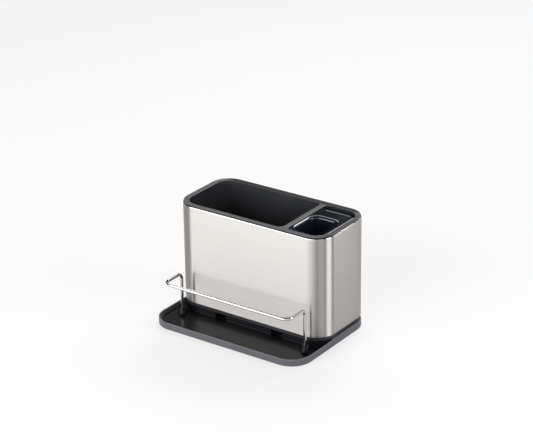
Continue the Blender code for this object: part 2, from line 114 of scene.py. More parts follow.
# Name, azimuth, distance, lower and upper edge, width, glow
softbox("key_softbox", -8, 1.6, 0.05, 1.2, 3.4, 7, bright=(0.22, 0.38))
softbox("corner_softbox", 58, 1.6, 0.05, 1.3, 0.85, 1.1)
softbox("side_strip", 101, 1.6, 0.05, 1.4, 0.74, 5.8)
softbox("near_strip", 130, 0.4, 0.02, 0.6, 0.06, 1.35)
softbox("rear_softbox", 186, 1.8, 1.0, 1.7, 1.1, 7)
softbox("hem_softbox", 168, 1.8, 1.36, 1.72, 0.45, 11)
softbox("back_left_softbox", -145, 2.0, 1.35, 2.7, 2.2, 5.2)

bpy.ops.mesh.primitive_plane_add(size=40, location=(0, 0, 0))
floor = bpy.context.object
floor.name = "floor"
floor_paint, _, floor_shader = new_finish("floor_paint")
for label, value in (
    ("Base Color", (0.3, 0.3, 0.3, 1)),
    ("Emission Color", (1, 1, 1, 1)),
    ("Emission Strength", 0.64),
    ("Roughness", 0.85),
    ("Specular IOR Level", 0.1),
):
    floor_shader.inputs[label].default_value = value
floor.data.materials.append(floor_paint)


# Steel sleeve
# The body is one sheet of stainless steel, brushed along its length, bent round four corners and welded
# behind. Its top and bottom edges are hemmed inwards, so the edges that a hand meets are round.
sleeve_low, sleeve_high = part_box("steel_sleeve")
SLEEVE_WIDTH = sleeve_high.x - sleeve_low.x
SLEEVE_DEPTH = sleeve_high.y - sleeve_low.y
SLEEVE_MIDDLE = (sleeve_high.y + sleeve_low.y) / 2
SLEEVE_CORNER = 21.7 * MM
SHEET = 0.8 * MM
HEM_HEIGHT = 4.0 * MM
HEM_ROLL = 1.4 * MM
HEM_EDGE = ((2, 0), (1.7, 0.2), (1, 0.3))  # the hem's free edge: its inset and fall, in sheets
WELD_BACK = sleeve_high.y + 0.08 * MM
WELD_DEPTH = 0.4 * MM
WELD_HALF = 0.7 * MM
WELD_LOW = sleeve_low.z + 2.0 * MM
WELD_HIGH = sleeve_high.z - 2.5 * MM


def arc(inset, z, radius, start, end, steps, spread=1):
    """(inset, z) points of a round in a wall's section. The inset grows inwards, and 0 degrees points outwards.

    The spread stretches the round across the wall.
    """
    turns = [math.radians(start + (end - start) * i / steps) for i in range(steps + 1)]
    return [(inset - radius * spread * math.cos(t), z + radius * math.sin(t)) for t in turns]


def swept_band_tree(name):
    """Geometry Nodes: sweeps the object's own section round a rounded rectangle."""
    tree = bpy.data.node_groups.new(name, "GeometryNodeTree")
    face = tree.interface
    face.new_socket("Section", in_out="INPUT", socket_type="NodeSocketGeometry")
    for label in ("Width", "Depth", "Corner Radius", "Middle"):
        face.new_socket(label, in_out="INPUT", socket_type="NodeSocketFloat")
    face.new_socket("Corner Steps", in_out="INPUT", socket_type="NodeSocketInt")
    face.new_socket("Finish", in_out="INPUT", socket_type="NodeSocketMaterial")
    face.new_socket("Band", in_out="OUTPUT", socket_type="NodeSocketGeometry")
    made, join = tree.nodes, tree.links.new
    given = made.new("NodeGroupInput")
    outline = made.new("GeometryNodeCurvePrimitiveQuadrilateral")
    join(given.outputs["Width"], outline.inputs["Width"])
    join(given.outputs["Depth"], outline.inputs["Height"])
    corners = made.new("GeometryNodeFilletCurve")
    corners.mode = "POLY"
    join(outline.outputs["Curve"], corners.inputs["Curve"])
    join(given.outputs["Corner Radius"], corners.inputs["Radius"])
    join(given.outputs["Corner Steps"], corners.inputs["Count"])
    upright = made.new("GeometryNodeSetCurveNormal")
    upright.mode = "Z_UP"
    join(corners.outputs["Curve"], upright.inputs["Curve"])
    section = made.new("GeometryNodeMeshToCurve")
    join(given.outputs["Section"], section.inputs["Mesh"])
    sweep = made.new("GeometryNodeCurveToMesh")
    join(upright.outputs["Curve"], sweep.inputs["Curve"])
    join(section.outputs["Curve"], sweep.inputs["Profile Curve"])
    shift = made.new("ShaderNodeCombineXYZ")
    join(given.outputs["Middle"], shift.inputs["Y"])
    place = made.new("GeometryNodeTransform")
    join(sweep.outputs["Mesh"], place.inputs["Geometry"])
    join(shift.outputs["Vector"], place.inputs["Translation"])
    real = made.new("GeometryNodeRealizeInstances")
    join(place.outputs["Geometry"], real.inputs["Geometry"])
    paint = made.new("GeometryNodeSetMaterial")
    join(real.outputs["Geometry"], paint.inputs["Geometry"])
    join(given.outputs["Finish"], paint.inputs["Material"])
    result = made.new("NodeGroupOutput")
    join(paint.outputs["Geometry"], result.inputs["Band"])
    return tree


def give(modifier, label, value):
    """Sets a Geometry Nodes input by its socket's identifier."""
    for item in modifier.node_group.interface.items_tree:
        if item.item_type == "SOCKET" and item.in_out == "INPUT" and item.name == label:
            modifier[item.identifier] = value


def settle(obj, sharp=35):
    """Turns an object with modifiers into a plain mesh with even shading and its place in the mesh."""
    bpy.context.view_layer.update()
    mesh = bpy.data.meshes.new_from_object(obj.evaluated_get(bpy.context.evaluated_depsgraph_get()))
    mesh.transform(obj.matrix_world)
    mesh.shade_smooth()
    mesh.set_sharp_from_angle(angle=math.radians(sharp))
    mesh.name = obj.name
    obj.modifiers.clear()
    obj.data = mesh
    obj.matrix_world = Matrix.Identity(4)
    even = obj.modifiers.new("even shading", "WEIGHTED_NORMAL")
    even.mode = "FACE_AREA"
    even.keep_sharp = True
    bpy.context.view_layer.update()
    final = bpy.data.meshes.new_from_object(obj.evaluated_get(bpy.context.evaluated_depsgraph_get()))
    obj.modifiers.clear()
    obj.data = final
    return obj


def swept_band(name, tree, section, finish, steps):
    """An object whose section, a closed loop of (inset, z) points, is swept round the sleeve's outline."""
    mesh = bpy.data.meshes.new(name)
    count = len(section)
    mesh.from_pydata(
        [(-inset, -z, 0) for inset, z in section], [(i, (i + 1) % count) for i in range(count)], []
    )
    obj = bpy.data.objects.new(name, mesh)
    bpy.context.scene.collection.objects.link(obj)
    sweep = obj.modifiers.new("sweep", "NODES")
    sweep.node_group = tree
    give(sweep, "Width", SLEEVE_WIDTH)
    give(sweep, "Depth", SLEEVE_DEPTH)
    give(sweep, "Corner Radius", SLEEVE_CORNER)
    give(sweep, "Middle", SLEEVE_MIDDLE)
    give(sweep, "Corner Steps", steps)
    give(sweep, "Finish", finish)
    return obj


def place_on(tree, stretch=None):
    """The place on the object, stretched if a scale is given."""
    place = tree.nodes.new("ShaderNodeTexCoord").outputs["Object"]
    if not stretch:
        return place
    mapping = tree.nodes.new("ShaderNodeMapping")
    mapping.inputs["Scale"].default_value = stretch
    tree.links.new(place, mapping.inputs["Vector"])
    return mapping.outputs["Vector"]


def speckle(tree, place, scale, detail, roughness=0.5):
    """A noise pattern."""
    pattern = tree.nodes.new("ShaderNodeTexNoise")
    pattern.inputs["Scale"].default_value = scale
    pattern.inputs["Detail"].default_value = detail
    pattern.inputs["Roughness"].default_value = roughness
    tree.links.new(place, pattern.inputs["Vector"])
    return pattern.outputs["Fac"]


def graded(tree, value, low, dark, high, light):
    """A colour that goes from dark, where the value is low, to light, where it is high."""
    tint = tree.nodes.new("ShaderNodeValToRGB")
    for element, where, color in zip(tint.color_ramp.elements, (low, high), (dark, light)):
        element.position = where
        element.color = (*color, 1)
    tree.links.new(value, tint.inputs["Fac"])
    return tint.outputs["Color"]


def ranged(tree, value, low, high, to_low, to_high):
    """The value, mapped from one range to another."""
    span = tree.nodes.new("ShaderNodeMapRange")
    for label, number in (("From Min", low), ("From Max", high), ("To Min", to_low), ("To Max", to_high)):
        span.inputs[label].default_value = number
    tree.links.new(value, span.inputs["Value"])
    return span.outputs["Result"]


def mixed(tree, kind, share, first, second):
    """The first output, replaced by the second number or colour by the given share."""
    mix = tree.nodes.new("ShaderNodeMix")
    mix.data_type = kind
    mix.inputs["B"].default_value = second
    tree.links.new(share, mix.inputs["Factor"])
    tree.links.new(first, mix.inputs["A"])
    return mix.outputs["Result"]


def raised(tree, value, strength, depth):
    """A normal for a surface that the value raises."""
    relief = tree.nodes.new("ShaderNodeBump")
    relief.inputs["Strength"].default_value = strength
    relief.inputs["Distance"].default_value = depth
    tree.links.new(value, relief.inputs["Height"])
    return relief.outputs["Normal"]


def own_value(tree, name):
    """A value that the mesh holds at each point."""
    given = tree.nodes.new("ShaderNodeAttribute")
    given.attribute_name = name
    return given.outputs["Fac"]


def mark(mesh, name, values):
    """Gives each point of a mesh a value of its own."""
    mesh.attributes.new(name, "FLOAT", "POINT").data.foreach_set("value", values)


def brushed_steel():
    """Stainless steel, brushed level round the body, so that reflections spread upright.

    It is smoother where it is rolled and darker where it is welded.
    """
    steel, tree, shader = new_finish("brushed_steel")
    join = tree.links.new
    shader.inputs["Metallic"].default_value = 1
    shader.inputs["Anisotropic"].default_value = 1
    shader.inputs["Anisotropic Rotation"].default_value = 0.25
    around = tree.nodes.new("ShaderNodeTangent")
    around.direction_type = "RADIAL"
    around.axis = "Z"
    join(around.outputs["Tangent"], shader.inputs["Tangent"])
    scratches = speckle(tree, place_on(tree, (14, 14, 2600)), 1, 4, 0.6)
    tint = graded(tree, scratches, 0.3, (0.4, 0.383, 0.37), 0.7, (0.435, 0.416, 0.402))
    tint = mixed(tree, "RGBA", own_value(tree, "weld"), tint, (0.24, 0.22, 0.2, 1))
    join(tint, shader.inputs["Base Color"])
    bands = speckle(tree, place_on(tree, (9, 9, 160)), 1, 3)
    gloss = ranged(tree, bands, 0.3, 0.7, 0.36, 0.38)
    join(mixed(tree, "FLOAT", own_value(tree, "rolled_edge"), gloss, 0.16), shader.inputs["Roughness"])
    join(raised(tree, scratches, 0.12, 0.00002), shader.inputs["Normal"])
    return steel


def solid(name, loops, closed=False):
    """A mesh object from matching loops of points, each joined to the next, with its faces outward."""
    bm = bmesh.new()
    rows = [[bm.verts.new(point) for point in loop] for loop in loops]
    pairs = list(zip(rows, rows[1:]))
    if closed:
        pairs.append((rows[-1], rows[0]))
    else:
        bm.faces.new(rows[0])
        bm.faces.new(rows[-1])
    for lower, upper in pairs:
        for a, b, c, d in zip(lower, lower[1:] + lower[:1], upper[1:] + upper[:1], upper):
            bm.faces.new((a, b, c, d))
    bmesh.ops.recalc_face_normals(bm, faces=bm.faces)
    mesh = bpy.data.meshes.new(name)
    bm.to_mesh(mesh)
    bm.free()
    obj = bpy.data.objects.new(name, mesh)
    bpy.context.scene.collection.objects.link(obj)
    return obj


def block(name, low, high):
    """A box between two corners."""
    corners = [(low[0], low[1]), (high[0], low[1]), (high[0], high[1]), (low[0], high[1])]
    return solid(name, [[(x, y, z) for x, y in corners] for z in (low[2], high[2])])


def shape(obj, tool, operation):
    """Joins a tool to obj or cuts it away, and removes the tool."""
    bite = obj.modifiers.new(operation, "BOOLEAN")
    bite.operation = operation
    bite.solver = "EXACT"
    bite.object = tool
    bpy.context.view_layer.update()
    mesh = bpy.data.meshes.new_from_object(obj.evaluated_get(bpy.context.evaluated_depsgraph_get()))
    obj.modifiers.clear()
    obj.data = mesh
    bpy.data.objects.remove(tool, do_unlink=True)


def dress(obj, finish, sharp=35):
    """Leaves one material on a shaped object and makes it a plain mesh."""
    obj.data.materials.clear()
    obj.data.materials.append(finish)
    settle(obj, sharp)


sheet_section = arc(SHEET, sleeve_low.z + SHEET, SHEET, -90, 0, 8)
sheet_section += arc(SHEET, sleeve_high.z - HEM_ROLL, HEM_ROLL, 0, 180, 20, SHEET / HEM_ROLL)
for inset, fall in HEM_EDGE:
    sheet_section.append((SHEET * inset, sleeve_high.z - HEM_HEIGHT - SHEET * fall))
for inset, fall in reversed(HEM_EDGE):
    sheet_section.append((SHEET * inset, sleeve_low.z + HEM_HEIGHT + SHEET * fall))
sheet_section += arc(SHEET, sleeve_low.z + SHEET, SHEET, 180, 262, 8)
steel = brushed_steel()
band_tree = swept_band_tree("sheet_round_the_body")
sleeve = swept_band("brushed_body", band_tree, sheet_section, steel, 32)
settle(sleeve)
weld = block("weld", (-WELD_HALF, WELD_BACK - WELD_DEPTH, WELD_LOW), (WELD_HALF, WELD_BACK, WELD_HIGH))
shape(sleeve, weld, "UNION")
dress(sleeve, steel)
points = [vertex.co for vertex in sleeve.data.vertices]
rolled_low = sleeve_low.z + SHEET * 0.95
rolled_high = sleeve_high.z - HEM_ROLL * 0.95
mark(sleeve.data, "weld", [float(p.y > WELD_BACK - 0.02 * MM) for p in points])
mark(sleeve.data, "rolled_edge", [float(not rolled_low <= p.z <= rolled_high) for p in points])
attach(sleeve, "body")
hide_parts("steel_sleeve")


# Base ring
# A dark moulded ring closes the steel's lower edge. Only its neck shows, as a shadow gap between the steel
# and the tray: the rest is a spigot inside the steel and a shorter one inside the tray's seat.
ring_low, ring_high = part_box("base_ring")


def moulded_plastic(name, dark, light, gloss_low, gloss_high, grain, relief_depth):
    """Injection-moulded plastic: a fine grain, faint flow marks, an uneven gloss, and edges painted lighter:
    wear where the mesh is sharp, and a painted highlight along the edges that the mesh marks.
    """
    plastic, tree, shader = new_finish(name)
    join = tree.links.new
    shader.inputs["IOR"].default_value = 1.5
    flow = speckle(tree, place_on(tree), 26, 3)
    form = tree.nodes.new("ShaderNodeNewGeometry")
    patches = tree.nodes.new("ShaderNodeMath")
    patches.operation = "MULTIPLY"
    # Edges marked on the mesh are painted lighter: painted highlight, with some wear. Sharp edges found by
    # pointiness are painted lighter as wear.
    join(own_value(tree, "wear_and_painted_highlight"), patches.inputs[0])
    join(ranged(tree, flow, 0.3, 0.7, 0.6, 1), patches.inputs[1])
    wear_and_highlight_share = tree.nodes.new("ShaderNodeMath")
    wear_and_highlight_share.operation = "MAXIMUM"
    join(ranged(tree, form.outputs["Pointiness"], 0.51, 0.6, 0, 0.4), wear_and_highlight_share.inputs[0])
    join(patches.outputs["Value"], wear_and_highlight_share.inputs[1])
    wear_and_highlight = (*[0.1 + 1.3 * part for part in light], 1)
    tint = graded(tree, flow, 0.35, dark, 0.65, light)
    join(mixed(tree, "RGBA", wear_and_highlight_share.outputs["Value"], tint, wear_and_highlight), shader.inputs["Base Color"])
    join(ranged(tree, flow, 0.35, 0.65, gloss_low, gloss_high), shader.inputs["Roughness"])
    grit = speckle(tree, place_on(tree), grain, 2)
    join(raised(tree, grit, 0.35, relief_depth), shader.inputs["Normal"])
    return plastic


ring_plastic = moulded_plastic(
    "ring_plastic", (0.01, 0.011, 0.015), (0.013, 0.014, 0.019), 0.34, 0.44, 1500, 0.00003
)
NECK_INSET = 1.0 * MM
NECK_EDGE = 0.3 * MM
SPIGOT_INSET = 1.95 * MM
SPIGOT_WALL = 1.6 * MM
SPIGOT_EDGE = 0.4 * MM
SEAT_INSET = 7.1 * MM
RING_REST = ring_low.z + 3.4 * MM
RING_SHOULDER = RING_REST + 3.6 * MM
RING_WEB_TOP = RING_REST + 1.8 * MM
SPIGOT_INSIDE = SPIGOT_INSET + SPIGOT_WALL
ring_section = arc(NECK_INSET + NECK_EDGE, RING_REST + NECK_EDGE, NECK_EDGE, -90, 0, 4)
ring_section += arc(NECK_INSET + NECK_EDGE, RING_SHOULDER - NECK_EDGE, NECK_EDGE, 0, 90, 4)
ring_section += [(SPIGOT_INSET, RING_SHOULDER), (SPIGOT_INSET, ring_high.z - SPIGOT_EDGE)]
ring_section += arc(SPIGOT_INSET + SPIGOT_EDGE, ring_high.z - SPIGOT_EDGE, SPIGOT_EDGE, 0, 90, 4)
ring_section += arc(SPIGOT_INSIDE - SPIGOT_EDGE, ring_high.z - SPIGOT_EDGE, SPIGOT_EDGE, 90, 180, 4)
ring_section += [
    (SPIGOT_INSIDE, RING_WEB_TOP),
    (SEAT_INSET + SPIGOT_WALL, RING_WEB_TOP),
    (SEAT_INSET + SPIGOT_WALL, ring_low.z),
    (SEAT_INSET, ring_low.z),
    (SEAT_INSET, RING_REST),
]
ring_obj = swept_band("neck_ring", band_tree, ring_section, ring_plastic, 24)
settle(ring_obj)
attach(ring_obj, "body")
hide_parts("base_ring")


# Drip tray
# One satin moulding: a shallow dish with a thin lip, a raised rib that the body stands on, and two bosses with
# blind holes for the wire. Two notches in the rib let water run forward from under the body.
tray_low, tray_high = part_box("base_tray")
FRONT_CORNER = 23.7 * MM
BACK_CORNER = 24.5 * MM
TRAY_CORNER = (FRONT_CORNER + BACK_CORNER) / 2
TRAY_PLAN = (
    *(tray_low.x, tray_high.x, tray_low.y, tray_high.y),
    *(FRONT_CORNER, FRONT_CORNER, BACK_CORNER, BACK_CORNER),
)
SEAT_PLAN = (sleeve_low.x, sleeve_high.x, sleeve_low.y, sleeve_high.y - 1.0 * MM, *[SLEEVE_CORNER] * 4)
LIP = 0.5 * MM
TRAY_WALL = 1.5 * MM
TRAY_TOP = tray_low.z + 7.5 * MM
TRAY_FLOOR = tray_low.z + 3.0 * MM
TRAY_UNDER = tray_low.z + 1.0 * MM
TRAY_FOOT_ROUND = 0.7 * MM
TRAY_FILLET = 1.2 * MM
ROOT = TRAY_FLOOR - 1.0 * MM  # how far down the rib and the bosses reach into the floor
SEAT_TOP = TRAY_TOP + 0.3 * MM
RIB_OUTER = -0.3 * MM
RIB_INNER = 6.7 * MM
RIB_FOOT = 0.6 * MM
RIB_ROUND = 0.4 * MM
GROOVE_OUTER = 1.5 * MM
GROOVE_INNER = 4.9 * MM
GROOVE_ROOF = SEAT_TOP - 1.8 * MM
ABOVE_SEAT = SEAT_TOP + 4.0 * MM
NOTCH_PLACES = (-35.0 * MM, 35.0 * MM)
NOTCH_HALF = 7.0 * MM
NOTCH_FRONT = sleeve_low.y - 1.4 * MM
NOTCH_BACK = sleeve_low.y + 8.0 * MM
NOTCH_WALL = 1.8 * MM
GROOVE_STOP_FRONT = NOTCH_FRONT - 1.0 * MM
GROOVE_STOP_BACK = NOTCH_BACK + 0.8 * MM
BOSS_PLACES = ((-77.3 * MM, -30.65 * MM), (77.3 * MM, -30.65 * MM))
BOSS_TOP = TRAY_FLOOR + 6.0 * MM
BOSS_RADIUS = 3.5 * MM
BOSS_ROUND = 0.5 * MM
BOSS_FOOT = ((4.9, 0.9), (5.15, 0.4), (5.6, 0.05))  # radius and height over the floor, in mm
BORE_RADIUS = 2.05 * MM
BORE_MOUTH = 2.4 * MM
BORE_DEPTH = 6.8 * MM
AXIS = 0.05 * MM  # the smallest radius of a turned solid, next to its axis


def plan_loop(plan, inset, z, steps=24):
    """Points of a rounded rectangle, drawn in by inset, anticlockwise from its front right corner."""
    left, right, front, back, front_left, front_right, back_right, back_left = plan
    points = []
    for x, y, corner, start in (
        (right, front, front_right, -90),
        (right, back, back_right, 0),
        (left, back, back_left, 90),
        (left, front, front_left, 180),
    ):
        middle_x = x - corner if x == right else x + corner
        middle_y = y - corner if y == back else y + corner
        radius = max(corner - inset, 0.4 * MM)
        reach = corner - inset - radius
        middle_x += reach if x == right else -reach
        middle_y += reach if y == back else -reach
        for i in range(steps + 1):
            turn = math.radians(start + 90 * i / steps)
            points.append((middle_x + radius * math.cos(turn), middle_y + radius * math.sin(turn), z))
    return points


def round_solid(name, profile, place, steps):
    """A solid turned about an upright axis from (radius, z) points that run down its outer side."""
    loops = []
    for radius, z in profile:
        turns = [math.tau * i / steps for i in range(steps)]
        loops.append(
            [(place[0] + radius * math.cos(t), place[1] + radius * math.sin(t), z) for t in turns]
        )
    return solid(name, loops)


def depth_inside(x, y, low, high, corner):
    """How far a point lies in from the rounded rectangle between two corners of a box."""
    across = abs(x - (low.x + high.x) / 2) - (high.x - low.x) / 2 + corner
    along = abs(y - (low.y + high.y) / 2) - (high.y - low.y) / 2 + corner
    if across > 0 and along > 0:
        return corner - math.hypot(across, along)
    return corner - max(across, along)


def painted_shade_and_gloss(plastic, color, roughness, shine):
    """Paints shade into the plastic, as a darker colour, and makes it smoother and less shiny, where the mesh's
    own value for this is 1.
    """
    tree = plastic.node_tree
    shader = tree.nodes["Principled BSDF"]
    share = own_value(tree, "painted_shade_and_gloss")
    tint, gloss, sheen = (shader.inputs[label] for label in ("Base Color", "Roughness", "Specular IOR Level"))
    tree.links.new(mixed(tree, "RGBA", share, tint.links[0].from_socket, (*color, 1)), tint)
    tree.links.new(mixed(tree, "FLOAT", share, gloss.links[0].from_socket, roughness), gloss)
    tree.links.new(ranged(tree, share, 0, 1, sheen.default_value, shine), sheen)


def edge_wear_and_highlight(obj, share):
    """How much lighter each point is painted, from 0 to 1: the given share on rounded outer edges, as wear and
    painted highlight.
    """
    bm = bmesh.new()
    bm.from_mesh(obj.data)
    marked = set()
    for edge in bm.edges:
        if len(edge.link_faces) == 2 and edge.calc_face_angle_signed() > math.radians(8):
            marked.update(vertex.index for vertex in edge.verts)
    bm.free()
    return [share if i in marked else 0.0 for i in range(len(obj.data.vertices))]


tray_plastic = moulded_plastic(
    "tray_plastic", (0.078, 0.079, 0.09), (0.088, 0.089, 0.101), 0.36, 0.46, 1300, 0.00002
)
tray_plastic.node_tree.nodes["Principled BSDF"].inputs["Specular IOR Level"].default_value = 0.15
# Painted shade: inside its wall the tray is painted much darker than outside. It is glossier there too.
painted_shade_and_gloss(tray_plastic, (0.005, 0.0045, 0.006), 0.24, 0.13)
dish = [(TRAY_WALL + LIP, TRAY_UNDER), (TRAY_WALL + LIP, tray_low.z)]
dish += arc(TRAY_FOOT_ROUND, tray_low.z + TRAY_FOOT_ROUND, TRAY_FOOT_ROUND, -90, 0, 6)
dish += arc(LIP, TRAY_TOP - LIP, LIP, 0, 90, 8)
dish += arc(TRAY_WALL - LIP, TRAY_TOP - LIP, LIP, 90, 180, 8)
dish += arc(TRAY_WALL + TRAY_FILLET, TRAY_FLOOR + TRAY_FILLET, TRAY_FILLET, 0, -90, 8)
tray = solid("drip_tray", [plan_loop(TRAY_PLAN, inset, z) for inset, z in dish])
rib = [(RIB_INNER + RIB_FOOT, ROOT), (RIB_OUTER - RIB_FOOT, ROOT)]
rib += arc(RIB_OUTER - RIB_FOOT, TRAY_FLOOR + RIB_FOOT, RIB_FOOT, 270, 180, 5)
rib += arc(RIB_OUTER + RIB_ROUND, SEAT_TOP - RIB_ROUND, RIB_ROUND, 0, 90, 6)
rib += arc(RIB_INNER - RIB_ROUND, SEAT_TOP - RIB_ROUND, RIB_ROUND, 90, 180, 6)
rib += arc(RIB_INNER + RIB_FOOT, TRAY_FLOOR + RIB_FOOT, RIB_FOOT, 0, -90, 5)
rib_obj = solid("seat_rib", [plan_loop(SEAT_PLAN, inset, z) for inset, z in rib], closed=True)
shape(tray, rib_obj, "UNION")
groove = [(GROOVE_INNER, 0), (GROOVE_OUTER, 0), (GROOVE_OUTER, GROOVE_ROOF), (GROOVE_INNER, GROOVE_ROOF)]
groove_obj = solid("groove", [plan_loop(SEAT_PLAN, inset, z) for inset, z in groove], closed=True)
for x in NOTCH_PLACES:
    half = NOTCH_HALF + NOTCH_WALL
    stop_low = (x - half, GROOVE_STOP_FRONT, -1.0 * MM)
    stop = block("groove_stop", stop_low, (x + half, GROOVE_STOP_BACK, ABOVE_SEAT))
    shape(groove_obj, stop, "DIFFERENCE")
shape(tray, groove_obj, "DIFFERENCE")
for x in NOTCH_PLACES:
    notch_low = (x - NOTCH_HALF, NOTCH_FRONT, TRAY_FLOOR)
    notch = block("notch", notch_low, (x + NOTCH_HALF, NOTCH_BACK, ABOVE_SEAT))
    shape(tray, notch, "DIFFERENCE")
boss = [(AXIS, BOSS_TOP)]
for i in range(7):
    turn = math.radians(15 * i)
    across, up = BOSS_ROUND * math.sin(turn), BOSS_ROUND * math.cos(turn)
    boss.append((BOSS_RADIUS - BOSS_ROUND + across, BOSS_TOP - BOSS_ROUND + up))
boss += [(radius * MM, TRAY_FLOOR + height * MM) for radius, height in BOSS_FOOT]
boss += [(boss[-1][0], ROOT), (AXIS, ROOT)]
bore = [(BORE_MOUTH, BOSS_TOP + 2.0 * MM), (BORE_MOUTH, BOSS_TOP + 0.05 * MM)]
bore += [(BORE_RADIUS, BOSS_TOP - 0.3 * MM), (BORE_RADIUS, BOSS_TOP - BORE_DEPTH)]
for place in BOSS_PLACES:
    shape(tray, round_solid("boss", boss, place, 48), "UNION")
    shape(tray, round_solid("bore", bore, place, 48), "DIFFERENCE")
dress(tray, tray_plastic)
# Rounded edges are painted lighter: wear and painted highlight.
mark(tray.data, "wear_and_painted_highlight", edge_wear_and_highlight(tray, 0.7))
# Marks the inside of the tray for the painted shade and the gloss.
shade_and_gloss = []
for x, y, z in (vertex.co for vertex in tray.data.vertices):
    depth = depth_inside(x, y, tray_low, tray_high, TRAY_CORNER)
    shade_and_gloss.append(float(depth > TRAY_WALL + 0.3 * MM and z > TRAY_FLOOR - 0.1 * MM))
mark(tray.data, "painted_shade_and_gloss", shade_and_gloss)
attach(tray, "tray")
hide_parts("base_tray")


# Rubber feet
# Four soft black pads are glued under the tray's floor. They are cut from moulded strip, with a softened edge.
PAD_EDGE = ((0, 0.45), (0.12, 0.2), (0.35, 0.05), (0.7, 0))  # the lower edge's inset and height, in mm
PAD_CHAMFER = 0.1 * MM
PAD_ROOT = 0.2 * MM


def foot_rubber_look():
    """Black rubber: dusty, matt and slightly uneven."""
    rubber, tree, shader = new_finish("foot_rubber")
    join = tree.links.new
    shader.inputs["IOR"].default_value = 1.45
    dust = speckle(tree, place_on(tree), 420, 5)
    join(graded(tree, dust, 0, (0.014, 0.014, 0.015), 1, (0.035, 0.034, 0.033)), shader.inputs["Base Color"])
    join(ranged(tree, dust, 0, 1, 0.7, 0.9), shader.inputs["Roughness"])
    join(raised(tree, dust, 0.4, 0.00005), shader.inputs["Normal"])
    return rubber


foot_rubber = foot_rubber_look()
for node in ("foot_front_left", "foot_front_right", "foot_back_left", "foot_back_right"):
    foot_low, foot_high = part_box(node)
    radius = (foot_high.x - foot_low.x) / 2
    place = ((foot_low.x + foot_high.x) / 2, (foot_low.y + foot_high.y) / 2)
    pad = [(2 * AXIS, foot_high.z + PAD_ROOT), (radius - PAD_CHAMFER, foot_high.z + PAD_ROOT)]
    pad += [(radius, foot_high.z + PAD_ROOT - PAD_CHAMFER)]
    pad += [(radius - inset * MM, height * MM) for inset, height in PAD_EDGE]
    pad += [(2 * AXIS, 0)]
    foot = round_solid(f"pad_{node[5:]}", pad, place, 48)
    dress(foot, foot_rubber, 50)
    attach(foot, "tray")
    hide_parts(node)


# Liner
# One matt moulding drops into the body: a flat rim that lies on the steel's edge, a wide well, a divider of
# two walls with a gap between them, and a narrow well. Both wells have drain holes in their floors.
liner_low, liner_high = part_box("liner")
RIM_TOP = liner_high.z
RIM_UNDER = RIM_TOP - 1.05 * MM
RIM_EDGE = 0.65 * MM
RIM_CHAMFER = 0.1 * MM
RIM_ROUND = 0.35 * MM
RIM_FALL = 0.12 * MM
RIM_CROWN = ((1.7, 0), (2.4, 0), (3.0, 0.25), (4.6, 1))  # inset in mm, and share of the fall
TONGUE_OUTER = 1.95 * MM
TONGUE_INNER = 3.35 * MM
TONGUE_END = RIM_UNDER - 6.0 * MM
WALL_INSET = 4.65 * MM
WELL_INSET = 6.65 * MM
WELL_ROUND = 0.7 * MM
LINER_BOTTOM = liner_low.z
LINER_FLOOR = LINER_BOTTOM + 2.0 * MM
DRAFT = 0.8 * MM
FILLET = 3.0 * MM
BODY_PLAN = (sleeve_low.x, sleeve_high.x, sleeve_low.y, sleeve_high.y, *[SLEEVE_CORNER] * 4)
WELL_FRONT = sleeve_low.y + WELL_INSET
WELL_BACK = sleeve_high.y - WELL_INSET
OUTER_CORNER = SLEEVE_CORNER - WELL_INSET
INNER_CORNER = 6.0 * MM
DIVIDER_RIGHT = sleeve_high.x - WELL_INSET - 41.4 * MM
DIVIDER_LEFT = DIVIDER_RIGHT - 6.2 * MM
DIVIDER_WALL = 2.0 * MM
GAP_INSET = 4.3 * MM
GAP_ROOF = RIM_TOP - 2.0 * MM
LEFT_WELL = (
    *(sleeve_low.x + WELL_INSET, DIVIDER_LEFT, WELL_FRONT, WELL_BACK),
    *(OUTER_CORNER, INNER_CORNER, INNER_CORNER, OUTER_CORNER),
)
RIGHT_WELL = (
    *(DIVIDER_RIGHT, sleeve_high.x - WELL_INSET, WELL_FRONT, WELL_BACK),
    *(INNER_CORNER, OUTER_CORNER, OUTER_CORNER, INNER_CORNER),
)
cup_low, cup_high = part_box("brush_cup")
MOUTH_CORNER = 12.0 * MM
MOUTH_LEFT = cup_low.x + 0.6 * MM
MOUTH_RIGHT = cup_high.x - 2.6 * MM
MOUTH_FRONT = cup_low.y + 1.6 * MM
MOUTH_BACK = cup_high.y - 15.5 * MM
MOUTH_PLAN = (MOUTH_LEFT, MOUTH_RIGHT, MOUTH_FRONT, MOUTH_BACK, *[MOUTH_CORNER] * 4)
CUP_MIDDLE = ((MOUTH_LEFT + MOUTH_RIGHT) / 2, (MOUTH_FRONT + MOUTH_BACK) / 2)
STOP_FRONT = MOUTH_BACK - 0.9 * MM
STOP_DEPTH = 1.6 * MM
STOP_HEIGHT = 4.0 * MM
DRAIN_RADIUS = 2.5 * MM
DRAIN_LENGTH = 8.0 * MM
WELL_PITCH = 19.0 * MM
CUP_PITCH = 12.0 * MM


